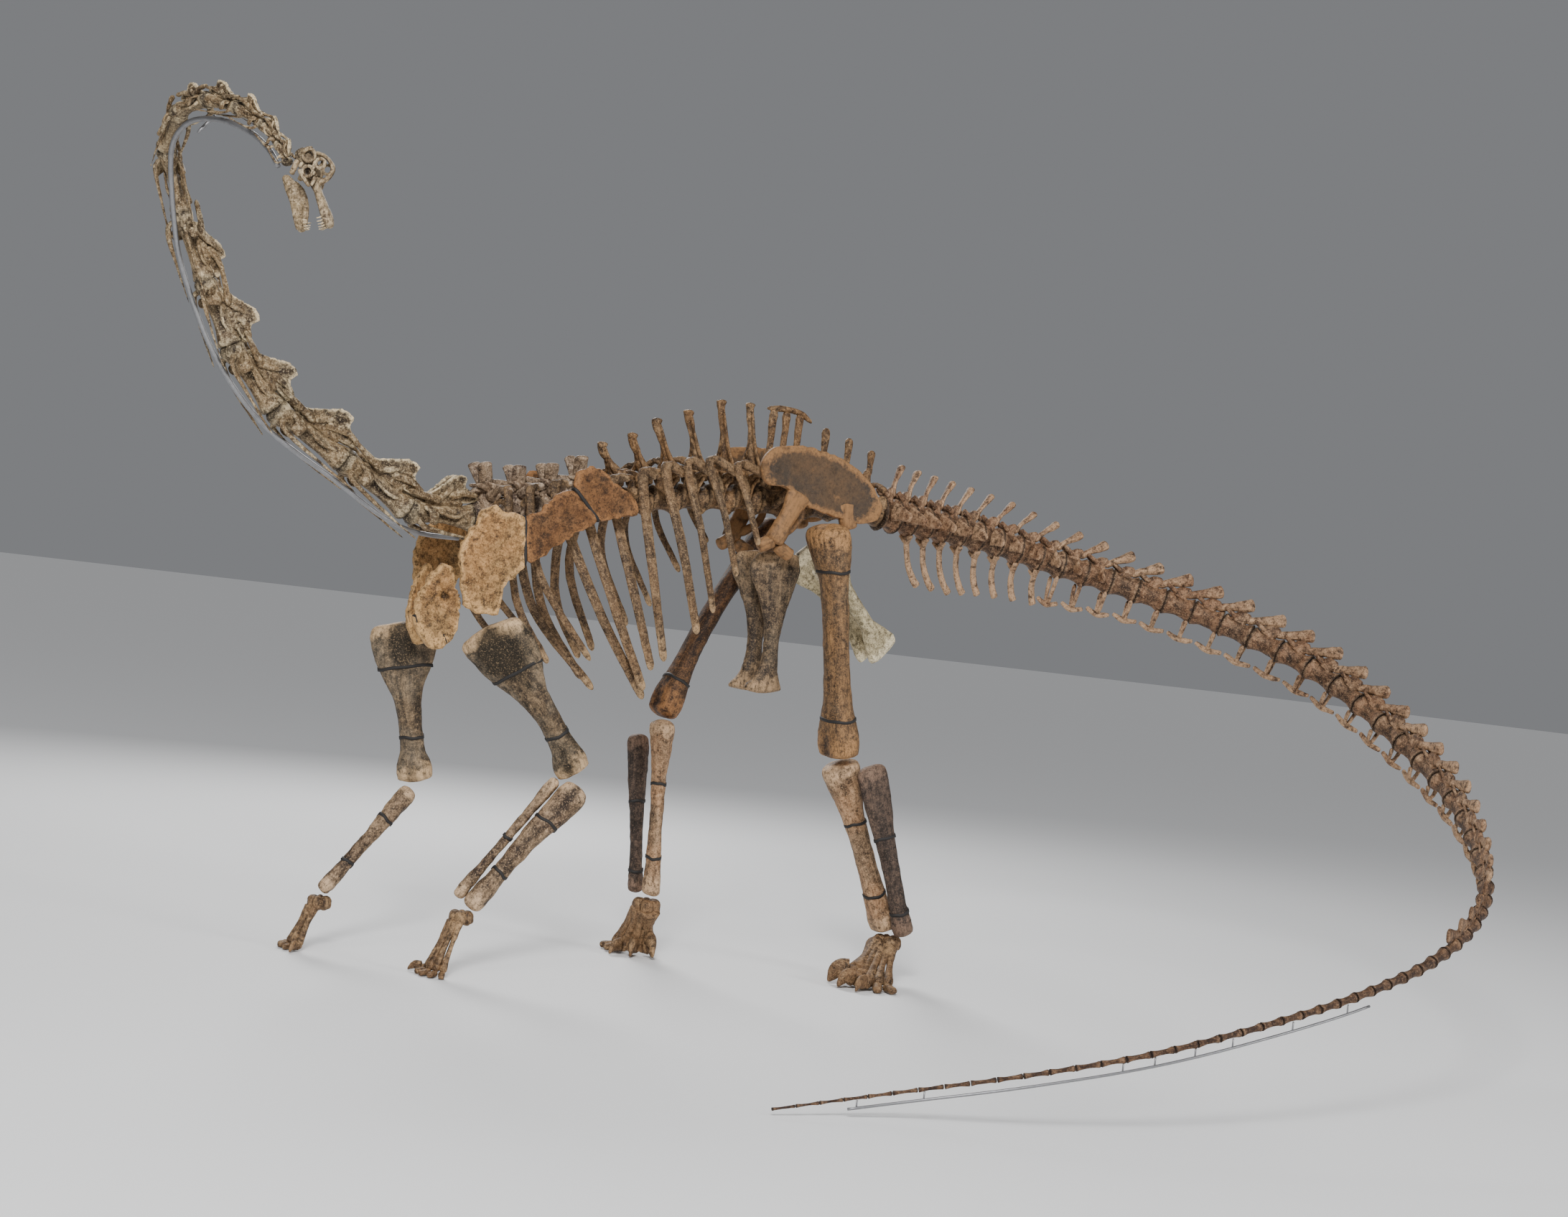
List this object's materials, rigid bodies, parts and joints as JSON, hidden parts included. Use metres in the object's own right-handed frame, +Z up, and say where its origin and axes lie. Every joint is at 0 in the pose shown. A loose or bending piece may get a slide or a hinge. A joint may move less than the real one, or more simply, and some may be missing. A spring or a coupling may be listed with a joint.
{
  "type": "mounted dinosaur skeleton",
  "caption": "Life-size mounted skeleton of a long-necked plant-eating dinosaur, walking, with its neck raised and turned and its whip tail curled round, on slim steel rods.",
  "frame": {"origin": "middle of the bounding box's base, on the floor the feet stand on", "axes": "+X from the head towards the tail's far bend, along the trunk; +Y towards the animal's right side; +Z up"},
  "size_m": [5.7028, 3.4427, 3.2948],
  "materials": {
    "bone_pale": "dull, fine-grained pale bone",
    "bone_tan": "dull, pink-tan bone",
    "bone_rust": "dull, orange-brown mottled bone",
    "bone_grey": "dull, grey bone with paler ends",
    "bone_dark": "dull, dark brown bone",
    "steel": "dull grey steel rod"
  },
  "bodies": {
    "root": {"coracoid_left": "bone_rust", "coracoid_right": "bone_rust", "femur_left": "bone_rust", "femur_right": "bone_rust", "fibula_left": "bone_grey", "fibula_right": "bone_grey", "fore_foot_left": "bone_rust", "fore_foot_right": "bone_rust", "hind_foot_left": "bone_rust", "hind_foot_right": "bone_rust", "humerus_left": "bone_grey", "humerus_right": "bone_grey", "ilium_left": "bone_rust", "ilium_right": "bone_rust", "ischium_left": "bone_pale", "ischium_right": "bone_pale", "jaw": "bone_pale", "neck_1": "bone_pale", "neck_2": "bone_pale", "neck_3": "bone_pale", "neck_4": "bone_pale", "neck_5": "bone_pale", "neck_rod": "steel", "pubis_left": "bone_grey", "pubis_right": "bone_grey", "radius_left": "bone_dark", "radius_right": "bone_dark", "rib_cage_left": "bone_tan", "rib_cage_right": "bone_tan", "sacrum": "bone_tan", "scapula_left": "bone_rust", "scapula_right": "bone_rust", "skull": "bone_pale", "tail_1": "bone_tan", "tail_2": "bone_tan", "tail_3": "bone_tan", "tail_4": "bone_tan", "tail_5": "bone_tan", "tail_6": "bone_tan", "tail_7": "bone_dark", "tail_8": "bone_dark", "tail_rod": "steel", "tibia_left": "bone_rust", "tibia_right": "bone_rust", "ulna_left": "bone_dark", "ulna_right": "bone_dark"}
  },
  "joints": []
}
